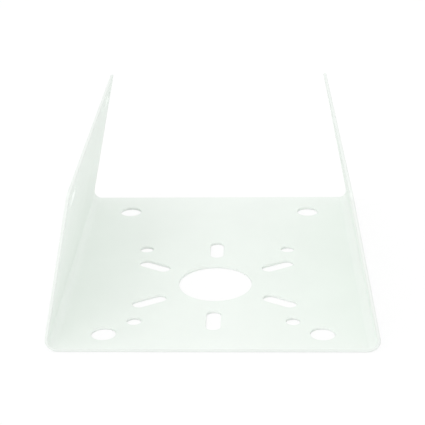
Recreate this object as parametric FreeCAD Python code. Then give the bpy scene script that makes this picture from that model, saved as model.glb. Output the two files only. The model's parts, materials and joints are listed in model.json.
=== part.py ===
import FreeCAD, Part
import math
import os

# Camera wall bracket, folded from one steel sheet: a flat base plate, and a wing folded up
# along each of its two long sides. Both wings lean inward over the plate.
# All sizes are millimetres and degrees. The origin is the centre of the cable hole, on the
# outer (lower) face of the base plate. +X runs across the folds, +Y runs along them from the
# front edge to the back edge, and +Z is the way that the wings stand.

# Sheet
sheet_thickness = 1.2
inside_bend_radius = 3.5
edge_bevel = 0.2

# Base plate: its width is taken between the two corner lines, where the outer face of a wing
# would meet the outer face of the plate if the bend had no radius.
base_width = 126.0
base_depth = 138.0
front_edge_to_cable_hole = 51.5

# Wings: the length runs along the outer face, from the corner line to the free edge.
wing_length = 65.5
wing_lean = 12.0
wing_corner_radius = 2.0

# Cable hole
cable_hole_diameter = 30.0

# Camera screw holes, at the corners of a square around the cable hole
camera_hole_diameter = 5.6
camera_hole_spacing = 61.5

# Camera screw slots, which point at the centre of the cable hole
radial_slot_count = 6
radial_slot_first_angle = 30.0
radial_slot_circle_diameter = 60.2
radial_slot_length = 14.5
radial_slot_width = 5.7

# Wall bolt holes, one near each corner of the base plate
wall_hole_diameter = 9.4
wall_hole_to_corner_line = 21.5
wall_hole_to_front_edge = 11.5
wall_hole_to_back_edge = 16.5

# Strap slots, one near each end of each wing's free edge
strap_slot_length = 14.0
strap_slot_width = 5.0
strap_slot_centre_to_wing_end = 16.0
strap_slot_centre_to_free_edge = 8.0

# A cutting tool stands this far out of the sheet on each side.
cutter_overrun = 1.0

# An edge whose middle is nearer than this to a wanted point is the wanted edge.
same_place = 0.01

# Two faces that cross at a steeper angle than this meet at a sharp edge.
sharp_angle = 60.0

# Worked out from the sizes above
front_y = -front_edge_to_cable_hole
back_y = front_y + base_depth
outside_bend_radius = inside_bend_radius + sheet_thickness
bend_angle = 90.0 + wing_lean
bend_setback = outside_bend_radius * math.tan(math.radians(bend_angle / 2))
lean_sine = math.sin(math.radians(wing_lean))
lean_cosine = math.cos(math.radians(wing_lean))
RIGHT = 1
LEFT = -1


def wing_normal(side):
    """Outward direction, square to the outer face of the wing on that side."""
    return FreeCAD.Vector(side * lean_cosine, 0, lean_sine)


def wing_point(side, y, along, inward):
    """A point of a wing: how far along from its corner line, and how far in from its outer face."""
    corner_line = FreeCAD.Vector(side * base_width / 2, y, 0)
    up_the_wing = FreeCAD.Vector(-side * lean_sine, 0, lean_cosine)
    return corner_line + up_the_wing * along - wing_normal(side) * inward


def bend_arc(side, radius):
    """Arc of a bend in the section, from the base plate to the wing, at one face of the sheet."""
    centre = FreeCAD.Vector(side * (base_width / 2 - bend_setback), front_y, outside_bend_radius)
    points = []
    for turned in (0.0, bend_angle / 2, bend_angle):
        angle = math.radians(turned - 90.0)
        offset = FreeCAD.Vector(side * math.cos(angle), 0, math.sin(angle)) * radius
        points.append(centre + offset)
    return Part.Arc(*points)


def face_edges(inward, radius):
    """Edges of one face of the sheet in the section, from the left free edge to the right one."""
    left_bend = bend_arc(LEFT, radius)
    right_bend = bend_arc(RIGHT, radius)
    left_wing = Part.LineSegment(wing_point(LEFT, front_y, wing_length, inward), left_bend.EndPoint)
    base = Part.LineSegment(left_bend.StartPoint, right_bend.StartPoint)
    right_wing = Part.LineSegment(right_bend.EndPoint, wing_point(RIGHT, front_y, wing_length, inward))
    return [left_wing, left_bend, base, right_bend, right_wing]


def folded_sheet():
    """The plain folded sheet, before any hole is cut."""
    outer = face_edges(0, outside_bend_radius)
    inner = face_edges(sheet_thickness, inside_bend_radius)
    ends = []
    for side in (LEFT, RIGHT):
        outer_corner = wing_point(side, front_y, wing_length, 0)
        inner_corner = wing_point(side, front_y, wing_length, sheet_thickness)
        ends.append(Part.LineSegment(outer_corner, inner_corner))
    section = [curve.toShape() for curve in outer + inner + ends]
    wire = Part.Wire(Part.__sortEdges__(section))
    return Part.Face(wire).extrude(FreeCAD.Vector(0, base_depth, 0))


def with_round_wing_corners(sheet):
    """Rounds the two free corners of each wing."""
    corners = []
    for side in (LEFT, RIGHT):
        for y in (front_y, back_y):
            middle = wing_point(side, y, wing_length, sheet_thickness / 2)
            corners.extend(e for e in sheet.Edges if e.CenterOfMass.distanceToPoint(middle) < same_place)
    return sheet.makeFillet(wing_corner_radius, corners)


def round_cutter(x, y, diameter):
    """Tool that drills a round hole through the base plate."""
    height = sheet_thickness + 2 * cutter_overrun
    start = FreeCAD.Vector(x, y, -cutter_overrun)
    return Part.makeCylinder(diameter / 2, height, start)


def slot_cutter(centre, run, normal, length, width):
    """Tool that cuts a round-ended slot along run; centre lies on the outer face of the sheet."""
    start = centre + normal * cutter_overrun
    half_run = run * ((length - width) / 2)
    half_width = normal.cross(run) * (width / 2)
    end_reach = run * (width / 2)
    first = start - half_run
    last = start + half_run
    outline = [
        Part.LineSegment(first - half_width, last - half_width),
        Part.Arc(last - half_width, last + end_reach, last + half_width),
        Part.LineSegment(last + half_width, first + half_width),
        Part.Arc(first + half_width, first - end_reach, first - half_width),
    ]
    wire = Part.Wire([curve.toShape() for curve in outline])
    return Part.Face(wire).extrude(normal * -(sheet_thickness + 2 * cutter_overrun))


def camera_cutters():
    """Cable hole, square of camera screw holes and ring of camera screw slots."""
    cutters = [round_cutter(0, 0, cable_hole_diameter)]
    for x in (-camera_hole_spacing / 2, camera_hole_spacing / 2):
        for y in (-camera_hole_spacing / 2, camera_hole_spacing / 2):
            cutters.append(round_cutter(x, y, camera_hole_diameter))
    outward = FreeCAD.Vector(0, 0, -1)
    for number in range(radial_slot_count):
        angle = math.radians(radial_slot_first_angle + number * 360.0 / radial_slot_count)
        run = FreeCAD.Vector(math.cos(angle), math.sin(angle), 0)
        centre = run * (radial_slot_circle_diameter / 2)
        cutters.append(slot_cutter(centre, run, outward, radial_slot_length, radial_slot_width))
    return cutters


def wall_bolt_cutters():
    """Four wall bolt holes, set in from the corner lines and from the front and back edges."""
    x = base_width / 2 - wall_hole_to_corner_line
    cutters = []
    for side in (LEFT, RIGHT):
        for y in (front_y + wall_hole_to_front_edge, back_y - wall_hole_to_back_edge):
            cutters.append(round_cutter(side * x, y, wall_hole_diameter))
    return cutters


def strap_cutters():
    """Strap slots, two in each wing, square to the wing."""
    along = wing_length - strap_slot_centre_to_free_edge
    run = FreeCAD.Vector(0, 1, 0)
    cutters = []
    for side in (LEFT, RIGHT):
        for y in (front_y + strap_slot_centre_to_wing_end, back_y - strap_slot_centre_to_wing_end):
            centre = wing_point(side, y, along, 0)
            cutters.append(slot_cutter(centre, run, wing_normal(side), strap_slot_length, strap_slot_width))
    return cutters


def is_sharp(solid, edge):
    """True where the two faces that share the edge meet at a corner, not in one smooth run."""
    faces = solid.ancestorsOfType(edge, Part.Face)
    if len(faces) != 2:
        return False
    middle = edge.valueAt((edge.FirstParameter + edge.LastParameter) / 2)
    normals = [face.normalAt(*face.Surface.parameter(middle)) for face in faces]
    return abs(normals[0].dot(normals[1])) < math.cos(math.radians(sharp_angle))


def with_soft_edges(solid):
    """Bevels every cut edge a little, as deburring and a thick coat of paint do."""
    sharp = [edge for edge in solid.Edges if is_sharp(solid, edge)]
    return solid.makeChamfer(edge_bevel, sharp)


def bracket():
    """The finished bracket: folded, cut and bevelled."""
    sheet = with_round_wing_corners(folded_sheet())
    cutters = camera_cutters() + wall_bolt_cutters() + strap_cutters()
    return with_soft_edges(sheet.cut(cutters))


os.makedirs("parts", exist_ok=True)
part = bracket().Solids[0]
part.exportStep("parts/bracket.step")
print("bracket: valid", part.isValid(), "volume mm3", round(part.Volume, 1))
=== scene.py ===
"""A folded steel camera wall bracket in white powder coat, on a plain white stage.

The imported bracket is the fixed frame. The scene gives it one clean skin with soft edges and a satin
coat of paint, and adds a floor, soft lamps and a camera. All lengths are metres.
"""

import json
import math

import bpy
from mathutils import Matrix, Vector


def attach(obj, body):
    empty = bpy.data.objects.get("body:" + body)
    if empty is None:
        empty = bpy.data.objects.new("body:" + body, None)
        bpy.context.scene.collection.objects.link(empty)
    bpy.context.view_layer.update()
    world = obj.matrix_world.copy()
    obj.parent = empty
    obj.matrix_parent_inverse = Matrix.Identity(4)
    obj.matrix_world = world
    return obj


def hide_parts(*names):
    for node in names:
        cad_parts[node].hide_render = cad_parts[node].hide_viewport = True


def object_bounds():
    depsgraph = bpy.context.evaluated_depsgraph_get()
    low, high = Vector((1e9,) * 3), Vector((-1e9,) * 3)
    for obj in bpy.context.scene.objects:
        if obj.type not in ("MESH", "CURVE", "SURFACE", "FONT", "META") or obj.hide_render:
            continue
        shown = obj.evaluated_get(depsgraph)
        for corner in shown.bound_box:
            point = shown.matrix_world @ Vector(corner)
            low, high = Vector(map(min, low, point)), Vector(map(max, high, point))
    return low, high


bl_info = {
    "name": "Camera Wall Bracket",
    "version": (1, 0, 0),
    "blender": (4, 5, 0),
    "location": "View3D > Sidebar > Bracket",
    "description": "Paints the folded camera wall bracket and sets it on a white stage",
    "category": "Object",
}

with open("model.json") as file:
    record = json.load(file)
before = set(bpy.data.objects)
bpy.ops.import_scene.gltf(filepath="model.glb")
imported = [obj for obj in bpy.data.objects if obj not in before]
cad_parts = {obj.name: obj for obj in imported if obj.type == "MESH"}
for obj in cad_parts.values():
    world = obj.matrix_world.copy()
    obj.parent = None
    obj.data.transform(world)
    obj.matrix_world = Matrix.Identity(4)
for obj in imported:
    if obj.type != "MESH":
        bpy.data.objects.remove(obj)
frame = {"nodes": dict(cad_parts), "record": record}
CAD_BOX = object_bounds()
NODE = "bracket"
BODY = "root"
SLOT = "white_paint"
MILLIMETRE = 0.001
UP = Vector((0, 0, 1))
WHITE = (1, 1, 1, 1)
BLACK = (0, 0, 0, 1)
PAINT_COLOUR = next(m["base_color"][:3] for m in frame["record"]["materials"] if m["slot"] == SLOT)

# Attribute of the skin that says how much painted shade darkens the coat at each corner of each face,
# on the cut edges and inside the bends
PAINTED_SHADE = "painted_shade"

# How many finer noises each pattern carries on top of its own
DRIFT_DETAIL = 3
ROUGHNESS_DETAIL = 2
PEEL_DETAIL = 1
GRAIN_DETAIL = 1

# Nearly all of a noise lies between these two values.
NOISE_LOW = 0.3
NOISE_HIGH = 0.7

# The strongest pull that large faces can have on the shading of the small ones next to them
LARGE_FACES_FIRST = 100

# Rays that see the stage as plain white. The others only carry its light.
SEEN_RAYS = ("Is Camera Ray", "Is Glossy Ray", "Is Transmission Ray")


class PaintSettings(bpy.types.PropertyGroup):
    """The coat of paint, the painted shade on its cut edges and inside its bends, and how the
    bracket's skin takes the light at its edges.
    """

    colour: bpy.props.FloatVectorProperty(
        name="Colour",
        description="Mean colour of the coat",
        subtype="COLOR", size=3, min=0, max=1,
        default=PAINT_COLOUR,
    )
    drift: bpy.props.FloatProperty(
        name="Colour drift",
        description="How far the colour drifts to each side of its mean",
        subtype="FACTOR", default=0.012, min=0, max=0.2,
    )
    drift_size: bpy.props.FloatProperty(
        name="Drift size",
        description="Width of a patch of drifted colour",
        unit="LENGTH", default=30 * MILLIMETRE, min=MILLIMETRE,
    )
    roughness: bpy.props.FloatProperty(
        name="Roughness",
        description="Mean roughness of the satin coat",
        subtype="FACTOR", default=0.6, min=0, max=1,
    )
    roughness_spread: bpy.props.FloatProperty(
        name="Roughness spread",
        description="How far the roughness goes to each side of its mean",
        subtype="FACTOR", default=0.06, min=0, max=0.3,
    )
    roughness_size: bpy.props.FloatProperty(
        name="Roughness size",
        description="Width of a patch of smoother or duller coat",
        unit="LENGTH", default=4 * MILLIMETRE, min=0.1 * MILLIMETRE,
    )
    gloss: bpy.props.FloatProperty(
        name="Gloss",
        description="How strongly the coat mirrors what is round it",
        subtype="FACTOR", default=0.3, min=0, max=1,
    )
    peel_size: bpy.props.FloatProperty(
        name="Peel size",
        description="Width of one wave of the coat's orange peel",
        unit="LENGTH", default=1.1 * MILLIMETRE, min=0.1 * MILLIMETRE,
    )
    peel_height: bpy.props.FloatProperty(
        name="Peel height",
        description="Height of the coat's orange peel",
        unit="LENGTH", default=0.028 * MILLIMETRE, min=0, precision=6,
    )
    grain_size: bpy.props.FloatProperty(
        name="Grain size",
        description="Width of the fine grain that the melted powder leaves",
        unit="LENGTH", default=0.22 * MILLIMETRE, min=0.05 * MILLIMETRE,
    )
    grain_height: bpy.props.FloatProperty(
        name="Grain height",
        description="Height of the fine grain",
        unit="LENGTH", default=0.002 * MILLIMETRE, min=0, precision=6,
    )
    # Painted shade: the sheet's outer cut edges are painted darker, standing in for the shade they
    # get
    painted_edge_shade: bpy.props.FloatProperty(
        name="Painted edge shade",
        description="Painted shade: how much darker the sheet's outer cut edges are painted",
        subtype="FACTOR", default=0.07, min=0, max=0.5,
    )
    # Painted shade: the inside of each bend is painted darker, standing in for the shade in the
    # corner between plate and wing
    painted_bend_shade: bpy.props.FloatProperty(
        name="Painted bend shade",
        description="Painted shade: how much darker the inside of the bends is painted",
        subtype="FACTOR", default=0.035, min=0, max=0.5,
    )
    outline_width: bpy.props.FloatProperty(
        name="Outline width",
        description="A cut face this near to the sheet's outer edges is not a hole's wall",
        unit="LENGTH", default=2.5 * MILLIMETRE, min=0, precision=6,
    )
    join_distance: bpy.props.FloatProperty(
        name="Join distance",
        description="Corners of the packed triangles nearer than this are one corner",
        unit="LENGTH", default=0.001 * MILLIMETRE, min=0, precision=6,
    )
    bend_angle: bpy.props.FloatProperty(
        name="Bend angle",
        description="Faces that meet at a flatter angle than this are on one side of the sheet",
        subtype="ANGLE", default=math.radians(30), min=0, max=math.pi,
    )
    smooth_angle: bpy.props.FloatProperty(
        name="Smooth angle",
        description="Faces that meet at a flatter angle than this shade as one surface",
        subtype="ANGLE", default=math.radians(50), min=0, max=math.pi,
    )


class StageSettings(bpy.types.PropertyGroup):
    """The floor, the light and the camera."""

    floor_size: bpy.props.FloatProperty(
        name="Floor size",
        description="Width of the square floor",
        unit="LENGTH", default=12.0, min=0.5,
    )
    floor_gap: bpy.props.FloatProperty(
        name="Floor gap",
        description="How far the floor lies below the bracket",
        unit="LENGTH", default=0.05 * MILLIMETRE, min=0, precision=6,
    )
    floor_colour: bpy.props.FloatVectorProperty(
        name="Floor colour",
        description="Colour of the floor in the light that it throws back",
        subtype="COLOR", size=3, min=0, max=1, default=(0.86, 0.86, 0.86),
    )
    seen_floor_colour: bpy.props.FloatVectorProperty(
        name="Seen floor colour",
        description="Colour of the floor where the camera or a reflection looks at it",
        subtype="COLOR", size=3, min=0, max=1, default=(1.0, 1.0, 1.0),
    )
    shadow: bpy.props.FloatProperty(
        name="Shadow",
        description="How much of the bracket's shadow the camera sees on the white floor",
        subtype="FACTOR", default=0.15, min=0, max=1,
    )
    daylight: bpy.props.FloatProperty(
        name="Daylight",
        description="Brightness of the even light from all sides",
        default=0.959, min=0, max=2,
    )
    key_brightness: bpy.props.FloatProperty(
        name="Key brightness",
        description="Share of full white that the key lamp alone gives",
        default=0.16, min=0, max=2,
    )
    key_turn: bpy.props.FloatProperty(
        name="Key turn",
        description="Direction of the key lamp, turned from the front towards the right",
        subtype="ANGLE", default=math.radians(-25),
    )
    key_rise: bpy.props.FloatProperty(
        name="Key rise",
        description="Height of the key lamp above the horizon",
        subtype="ANGLE", default=math.radians(15),
    )
    fill_brightness: bpy.props.FloatProperty(
        name="Fill brightness",
        description="Share of full white that the fill lamp alone gives",
        default=0.092, min=0, max=2,
    )
    fill_turn: bpy.props.FloatProperty(
        name="Fill turn",
        description="Direction of the fill lamp, turned from the front towards the right",
        subtype="ANGLE", default=math.radians(-90),
    )
    fill_rise: bpy.props.FloatProperty(
        name="Fill rise",
        description="Height of the fill lamp above the horizon",
        subtype="ANGLE", default=math.radians(60),
    )
    side_brightness: bpy.props.FloatProperty(
        name="Side brightness",
        description="Share of full white that the side lamp alone gives",
        default=0.08, min=0, max=2,
    )
    side_turn: bpy.props.FloatProperty(
        name="Side turn",
        description="Direction of the side lamp, turned from the front towards the right",
        subtype="ANGLE", default=math.radians(90),
    )
    side_rise: bpy.props.FloatProperty(
        name="Side rise",
        description="Height of the side lamp above the horizon",
        subtype="ANGLE", default=math.radians(45),
    )
    lamp_distance: bpy.props.FloatProperty(
        name="Lamp distance",
        description="Distance of each lamp from the bracket",
        unit="LENGTH", default=1.0, min=0.2,
    )
    lamp_size: bpy.props.FloatProperty(
        name="Lamp size",
        description="Width of each square lamp",
        unit="LENGTH", default=0.5, min=0.05,
    )
    camera_place: bpy.props.FloatVectorProperty(
        name="Camera place",
        description="Where the camera stands",
        subtype="TRANSLATION", unit="LENGTH", size=3, default=(0.01275, -0.39192, 0.21481),
    )
    camera_aim: bpy.props.FloatVectorProperty(
        name="Camera aim",
        description="Point of the floor at the centre of the picture",
        subtype="TRANSLATION", unit="LENGTH", size=3, default=(-0.0032, 0.07147, 0.0),
    )
    camera_roll: bpy.props.FloatProperty(
        name="Camera roll",
        description="How far the camera is turned clockwise about its own line of sight",
        subtype="ANGLE", default=math.radians(0.98),
    )
    lens: bpy.props.FloatProperty(
        name="Lens",
        description="Focal length in millimetres, on a sensor 36 mm wide",
        unit="CAMERA", default=91.56, min=10,
    )


def active_mesh_object(context, mesh, name):
    """A new object that holds the mesh, alone selected and active."""
    bpy.ops.object.select_all(action="DESELECT")
    piece = bpy.data.objects.new(name, mesh)
    context.collection.objects.link(piece)
    piece.select_set(True)
    context.view_layer.objects.active = piece
    return piece


def new_material(name):
    """An empty node material, with its nodes, its links and its output node."""
    material = bpy.data.materials.new(name)
    material.use_nodes = True
    tree = material.node_tree
    tree.nodes.clear()
    return material, tree.nodes, tree.links, tree.nodes.new("ShaderNodeOutputMaterial")


def noise(nodes, links, vector, width, detail):
    """A noise whose patches are about that wide."""
    node = nodes.new("ShaderNodeTexNoise")
    node.inputs["Scale"].default_value = 1 / width
    node.inputs["Detail"].default_value = detail
    links.new(vector, node.inputs["Vector"])
    return node.outputs["Fac"]


def spread(nodes, links, value, low, high):
    """A noise, stretched to run from low to high."""
    node = nodes.new("ShaderNodeMapRange")
    node.inputs["From Min"].default_value = NOISE_LOW
    node.inputs["From Max"].default_value = NOISE_HIGH
    node.inputs["To Min"].default_value = low
    node.inputs["To Max"].default_value = high
    links.new(value, node.inputs["Value"])
    return node.outputs["Result"]


def bump(nodes, links, height, distance, normal=None):
    """A bump of that height, on top of another bump if one is given."""
    node = nodes.new("ShaderNodeBump")
    node.inputs["Distance"].default_value = distance
    links.new(height, node.inputs["Height"])
    if normal:
        links.new(normal, node.inputs["Normal"])
    return node.outputs["Normal"]


def side_of_sheet(piece, facing, bend_angle):
    """The faces on one side of the sheet, round both bends as far as the cut edges."""
    bpy.ops.object.mode_set(mode="EDIT")
    bpy.ops.mesh.select_mode(type="FACE")
    bpy.ops.mesh.select_all(action="DESELECT")
    bpy.ops.object.mode_set(mode="OBJECT")
    start = max(piece.data.polygons, key=lambda face: face.area * face.normal.dot(facing))
    start.select = True
    bpy.ops.object.mode_set(mode="EDIT")
    bpy.ops.mesh.faces_select_linked_flat(sharpness=bend_angle)
    bpy.ops.object.mode_set(mode="OBJECT")
    return {face.index for face in piece.data.polygons if face.select}


def mark_painted_shade(piece, paint):
    """Marks painted shade: on the sheet's outer cut edges and inside the bends."""
    inner = side_of_sheet(piece, UP, paint.bend_angle)
    outer = side_of_sheet(piece, -UP, paint.bend_angle)
    faces = piece.data.polygons

    # The painted shade inside a bend is nil at both ends of the bend and darkest half way round.
    wing_turn = max(faces[index].normal.angle(UP) for index in inner)
    shares = [[] for _ in piece.data.vertices]
    for index in inner:
        share = math.sin(math.pi * faces[index].normal.angle(UP) / wing_turn)
        for vertex in faces[index].vertices:
            shares[vertex].append(share)

    # Cut faces are on neither side of the sheet, and the walls of its holes lie further in than its
    # outer edges.
    low, high = CAD_BOX
    marks = piece.data.attributes.new(PAINTED_SHADE, "FLOAT", "CORNER").data
    # Painted shade: inside the bends it follows the share above; the outer cut edges get an even
    # amount, and the walls of the holes none.
    for face in faces:
        to_outline = min(face.center.y - low.y, high.y - face.center.y, high.z - face.center.z)
        for corner, vertex in zip(face.loop_indices, face.vertices):
            if face.index in inner:
                share = sum(shares[vertex]) / len(shares[vertex])
                marks[corner].value = paint.painted_bend_shade * share
            elif face.index not in outer and to_outline < paint.outline_width:
                marks[corner].value = paint.painted_edge_shade


def powder_coat(paint):
    """White powder coat: satin, with a faint drift of colour, orange peel and a fine grain, and
    painted shade on the cut edges and inside the bends.
    """
    material, nodes, links, output = new_material("white_powder_coat")
    place = nodes.new("ShaderNodeTexCoord").outputs["Object"]
    shader = nodes.new("ShaderNodeBsdfPrincipled")
    shader.inputs["Specular IOR Level"].default_value = paint.gloss
    links.new(shader.outputs["BSDF"], output.inputs["Surface"])

    tint = nodes.new("ShaderNodeMix")
    tint.data_type = "RGBA"
    patches = noise(nodes, links, place, paint.drift_size, DRIFT_DETAIL)
    links.new(spread(nodes, links, patches, 0, 1), tint.inputs["Factor"])
    tint.inputs["A"].default_value = (*[c * (1 - paint.drift) for c in paint.colour], 1)
    tint.inputs["B"].default_value = (*[min(1, c * (1 + paint.drift)) for c in paint.colour], 1)

    # Painted shade: the colour is darkened towards black by the skin's mark, on the cut edges and
    # inside the bends.
    painted_shade_node = nodes.new("ShaderNodeAttribute")
    painted_shade_node.attribute_name = PAINTED_SHADE
    darker = nodes.new("ShaderNodeMix")
    darker.data_type = "RGBA"
    links.new(painted_shade_node.outputs["Fac"], darker.inputs["Factor"])
    links.new(tint.outputs["Result"], darker.inputs["A"])
    darker.inputs["B"].default_value = BLACK
    links.new(darker.outputs["Result"], shader.inputs["Base Color"])

    duller = noise(nodes, links, place, paint.roughness_size, ROUGHNESS_DETAIL)
    low = paint.roughness - paint.roughness_spread
    high = paint.roughness + paint.roughness_spread
    links.new(spread(nodes, links, duller, low, high), shader.inputs["Roughness"])

    waves = noise(nodes, links, place, paint.peel_size, PEEL_DETAIL)
    peel = bump(nodes, links, waves, paint.peel_height)
    specks = noise(nodes, links, place, paint.grain_size, GRAIN_DETAIL)
    links.new(bump(nodes, links, specks, paint.grain_height, peel), shader.inputs["Normal"])
    return material


def seen_rays(nodes, links):
    """1 on the rays of the camera, of reflections and of glass, and 0 on every other ray."""
    path = nodes.new("ShaderNodeLightPath")
    total = path.outputs[SEEN_RAYS[0]]
    for kind in SEEN_RAYS[1:]:
        either = nodes.new("ShaderNodeMath")
        either.operation = "MAXIMUM"
        links.new(total, either.inputs[0])
        links.new(path.outputs[kind], either.inputs[1])
        total = either.outputs["Value"]
    return total


def floor_white(stage):
    """The white floor: paper that takes light, and mostly plain white where it is seen."""
    material, nodes, links, output = new_material("stage_floor")
    seen = seen_rays(nodes, links)
    colour = nodes.new("ShaderNodeMix")
    colour.data_type = "RGBA"
    links.new(seen, colour.inputs["Factor"])
    colour.inputs["A"].default_value = (*stage.floor_colour, 1)
    colour.inputs["B"].default_value = (*stage.seen_floor_colour, 1)
    paper = nodes.new("ShaderNodeBsdfDiffuse")
    links.new(colour.outputs["Result"], paper.inputs["Color"])
    white = nodes.new("ShaderNodeEmission")
    share = nodes.new("ShaderNodeMath")
    share.operation = "MULTIPLY"
    share.inputs[1].default_value = 1 - stage.shadow
    links.new(seen, share.inputs[0])
    mix = nodes.new("ShaderNodeMixShader")
    links.new(share.outputs["Value"], mix.inputs["Fac"])
    links.new(paper.outputs["BSDF"], mix.inputs[1])
    links.new(white.outputs["Emission"], mix.inputs[2])
    links.new(mix.outputs["Shader"], output.inputs["Surface"])
    return material


def daylight_world(stage):
    """Even light from all sides, and plain white where the world itself is seen."""
    world = bpy.data.worlds.new("studio")
    world.use_nodes = True
    nodes = world.node_tree.nodes
    links = world.node_tree.links
    nodes.clear()
    output = nodes.new("ShaderNodeOutputWorld")
    light = nodes.new("ShaderNodeBackground")
    light.inputs["Strength"].default_value = stage.daylight
    backdrop = nodes.new("ShaderNodeBackground")
    for sky in (light, backdrop):
        sky.inputs["Color"].default_value = WHITE
    mix = nodes.new("ShaderNodeMixShader")
    links.new(seen_rays(nodes, links), mix.inputs["Fac"])
    links.new(light.outputs["Background"], mix.inputs[1])
    links.new(backdrop.outputs["Background"], mix.inputs[2])
    links.new(mix.outputs["Shader"], output.inputs["Surface"])
    return world


def add_lamp(name, stage, turn, rise, brightness):
    """A soft square lamp, which gives a white sheet that faces it that share of full white."""
    level = math.cos(rise)
    towards = Vector((math.sin(turn) * level, -math.cos(turn) * level, math.sin(rise)))
    place = (CAD_BOX[0] + CAD_BOX[1]) / 2 + towards * stage.lamp_distance
    facing = towards.to_track_quat("Z", "Y").to_euler()
    bpy.ops.object.light_add(type="AREA", location=place, rotation=facing)
    lamp = bpy.context.object
    lamp.name = name
    lamp.data.size = stage.lamp_size
    lamp.data.energy = brightness * (math.pi * stage.lamp_distance) ** 2


def add_camera(stage):
    """The camera, from its place and aim, with a little roll."""
    place = Vector(stage.camera_place)
    sight = Vector(stage.camera_aim) - place
    level = sight.to_track_quat("-Z", "Y").to_matrix().to_4x4()
    roll = Matrix.Rotation(-stage.camera_roll, 4, "Z")
    bpy.ops.object.camera_add()
    camera = bpy.context.object
    camera.matrix_world = Matrix.Translation(place) @ level @ roll
    camera.data.lens = stage.lens
    bpy.context.scene.camera = camera


class BRACKET_OT_skin(bpy.types.Operator):
    """Give the bracket one closed skin with soft edges, and paint it, with painted shade on its cut
    edges and inside its bends
    """

    bl_idname = "bracket.skin"
    bl_label = "Painted bracket"

    def execute(self, context):
        paint = context.scene.bracket_paint
        piece = active_mesh_object(context, frame["nodes"][NODE].data.copy(), "painted_bracket")
        bpy.ops.object.mode_set(mode="EDIT")
        bpy.ops.mesh.customdata_custom_splitnormals_clear()
        bpy.ops.mesh.select_all(action="SELECT")
        bpy.ops.mesh.remove_doubles(threshold=paint.join_distance)
        bpy.ops.object.mode_set(mode="OBJECT")
        # Painted shade on the cut edges and inside the bends, as a mark on the skin
        mark_painted_shade(piece, paint)
        bpy.ops.object.shade_smooth_by_angle(angle=paint.smooth_angle)
        weigh = piece.modifiers.new("flat_faces_stay_flat", "WEIGHTED_NORMAL")
        weigh.mode = "FACE_AREA"
        weigh.weight = LARGE_FACES_FIRST
        weigh.keep_sharp = True
        bpy.ops.object.modifier_apply(modifier=weigh.name)
        piece.data.materials.clear()
        piece.data.materials.append(powder_coat(paint))
        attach(piece, BODY)
        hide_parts(NODE)
        return {"FINISHED"}


class BRACKET_OT_stage(bpy.types.Operator):
    """Add the floor, the lamps and the camera"""

    bl_idname = "bracket.stage"
    bl_label = "White stage"

    def execute(self, context):
        stage = context.scene.bracket_stage
        bpy.ops.object.select_all(action="DESELECT")
        floor_place = (0, 0, CAD_BOX[0].z - stage.floor_gap)
        bpy.ops.mesh.primitive_plane_add(size=stage.floor_size, location=floor_place)
        floor = context.object
        floor.name = "stage_floor"
        floor.data.materials.append(floor_white(stage))

        add_lamp("key_lamp", stage, stage.key_turn, stage.key_rise, stage.key_brightness)
        add_lamp("fill_lamp", stage, stage.fill_turn, stage.fill_rise, stage.fill_brightness)
        add_lamp("side_lamp", stage, stage.side_turn, stage.side_rise, stage.side_brightness)
        context.scene.world = daylight_world(stage)
        context.scene.view_settings.view_transform = "Standard"
        add_camera(stage)
        return {"FINISHED"}


class BRACKET_PT_panel(bpy.types.Panel):
    """Steps and values of the bracket scene"""

    bl_label = "Camera Wall Bracket"
    bl_idname = "BRACKET_PT_panel"
    bl_space_type = "VIEW_3D"
    bl_region_type = "UI"
    bl_category = "Bracket"

    def draw(self, context):
        for step, settings in (
            (BRACKET_OT_skin, context.scene.bracket_paint),
            (BRACKET_OT_stage, context.scene.bracket_stage),
        ):
            box = self.layout.box()
            box.operator(step.bl_idname)
            for name in settings.__annotations__:
                box.prop(settings, name)


CLASSES = (PaintSettings, StageSettings, BRACKET_OT_skin, BRACKET_OT_stage, BRACKET_PT_panel)


def register():
    """Adds the classes, and the settings to the scene."""
    for cls in CLASSES:
        bpy.utils.register_class(cls)
    bpy.types.Scene.bracket_paint = bpy.props.PointerProperty(type=PaintSettings)
    bpy.types.Scene.bracket_stage = bpy.props.PointerProperty(type=StageSettings)


def unregister():
    """Takes the settings and the classes away again."""
    del bpy.types.Scene.bracket_stage
    del bpy.types.Scene.bracket_paint
    for cls in reversed(CLASSES):
        bpy.utils.unregister_class(cls)


def main():
    """Builds the scene step by step."""
    register()
    bpy.ops.bracket.skin()
    bpy.ops.bracket.stage()


if __name__ == "__main__":
    main()
